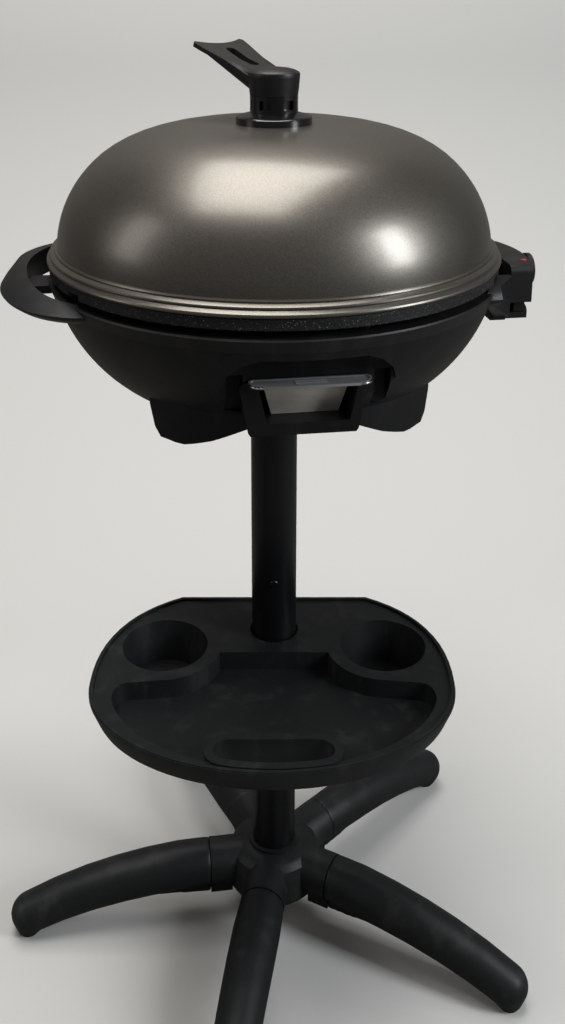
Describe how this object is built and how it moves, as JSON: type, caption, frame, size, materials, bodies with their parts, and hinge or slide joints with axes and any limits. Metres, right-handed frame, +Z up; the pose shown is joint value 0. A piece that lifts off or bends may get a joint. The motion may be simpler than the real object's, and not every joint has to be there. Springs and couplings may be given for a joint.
{
  "type": "electric grill",
  "caption": "Free-standing electric grill with a round domed lid, a bowl with handle loops, a drip drawer, a side tray with cup holders and a star base.",
  "frame": {"origin": "on the floor under the pole's axis", "axes": "+Z up; -Y the side from which the drip tray is pulled; +X the side of the controller"},
  "size_m": [0.5944, 0.6048, 1.0417],
  "materials": {
    "stand_plastic": "fine satin texture",
    "pole_paint": "satin powder coat",
    "lid_paint": "metallic grey, satin",
    "bowl_plastic": "fine satin texture",
    "handle_plastic": "satin",
    "plate_coat": "speckled non-stick coat",
    "pan_coat": "satin graphite coat",
    "bright_steel": "brushed",
    "tube_steel": "dull oxidised",
    "knob_plastic": "satin",
    "collar_plastic": "gloss",
    "rubber": "matte",
    "lamp_lens": "translucent red"
  },
  "bodies": {
    "stand": {"base_hub": "stand_plastic", "hub_collar": "stand_plastic", "pole_plug": "bright_steel", "pole_washer": "bright_steel", "pole_bolt": "bright_steel", "leg_1": "stand_plastic", "leg_2": "stand_plastic", "leg_3": "stand_plastic", "leg_4": "stand_plastic", "leg_5": "stand_plastic", "foot_pad_1": "rubber", "foot_pad_2": "rubber", "foot_pad_3": "rubber", "foot_pad_4": "rubber", "foot_pad_5": "rubber", "leg_screws": "bright_steel", "lower_pole": "pole_paint", "upper_pole": "pole_paint", "pole_coupling": "bright_steel", "side_tray": "stand_plastic", "tray_screws": "bright_steel"},
    "snap_button": {"snap_button": "bright_steel", "button_spring": "bright_steel"},
    "head": {"bowl": "bowl_plastic", "handle_ring": "handle_plastic", "ring_screws": "bright_steel", "pole_socket": "bowl_plastic", "socket_screws": "bright_steel", "reflector": "bright_steel"},
    "drip_tray": {"drip_tray": "pan_coat"},
    "plate": {"grill_plate": "plate_coat", "heating_element": "tube_steel", "terminal_housing": "handle_plastic", "terminal_pins": "bright_steel", "housing_screws": "bright_steel"},
    "lid": {"lid_shell": "lid_paint", "vent_base": "collar_plastic", "lid_bolt": "bright_steel", "lid_washer": "bright_steel"},
    "vent_lever": {"lid_handle": "knob_plastic", "vent_shutter": "bright_steel"},
    "controller": {"controller_case": "handle_plastic", "controller_base": "knob_plastic", "probe": "bright_steel", "pilot_lamp": "lamp_lens", "cord_gland": "rubber"},
    "dial": {"dial": "knob_plastic", "dial_spindle": "bright_steel"}
  },
  "joints": [
    {"name": "head_lift", "type": "slide", "parent": "stand", "child": "head", "axis": [0, 0, 1], "range_m": [0, 0.08]},
    {"name": "drip_tray_slide", "type": "slide", "parent": "head", "child": "drip_tray", "axis": [0, -1, 0], "range_m": [0, 0.17]},
    {"name": "plate_lift", "type": "slide", "parent": "head", "child": "plate", "axis": [0, 0, 1], "range_m": [0, 0.12]},
    {"name": "lid_lift", "type": "slide", "parent": "plate", "child": "lid", "axis": [0, 0, 1], "range_m": [0, 0.2]},
    {"name": "vent_turn", "type": "hinge", "parent": "lid", "child": "vent_lever", "pos_m": [0, 0, 1], "axis": [0, 0, 1], "range_deg": [0, 30]},
    {"name": "controller_unplug", "type": "slide", "parent": "plate", "child": "controller", "axis": [1, 0, 0], "range_m": [0, 0.09]},
    {"name": "dial_turn", "type": "hinge", "parent": "controller", "child": "dial", "pos_m": [0.271, 0, 0.803], "axis": [1, 0, 0], "range_deg": [0, 270]},
    {"name": "button_press", "type": "slide", "parent": "stand", "child": "snap_button", "axis": [0.1392, 0.9903, 0], "range_m": [0, 0.0044], "stiffness_N_per_m": 1500, "springref_m": -0.002}
  ]
}
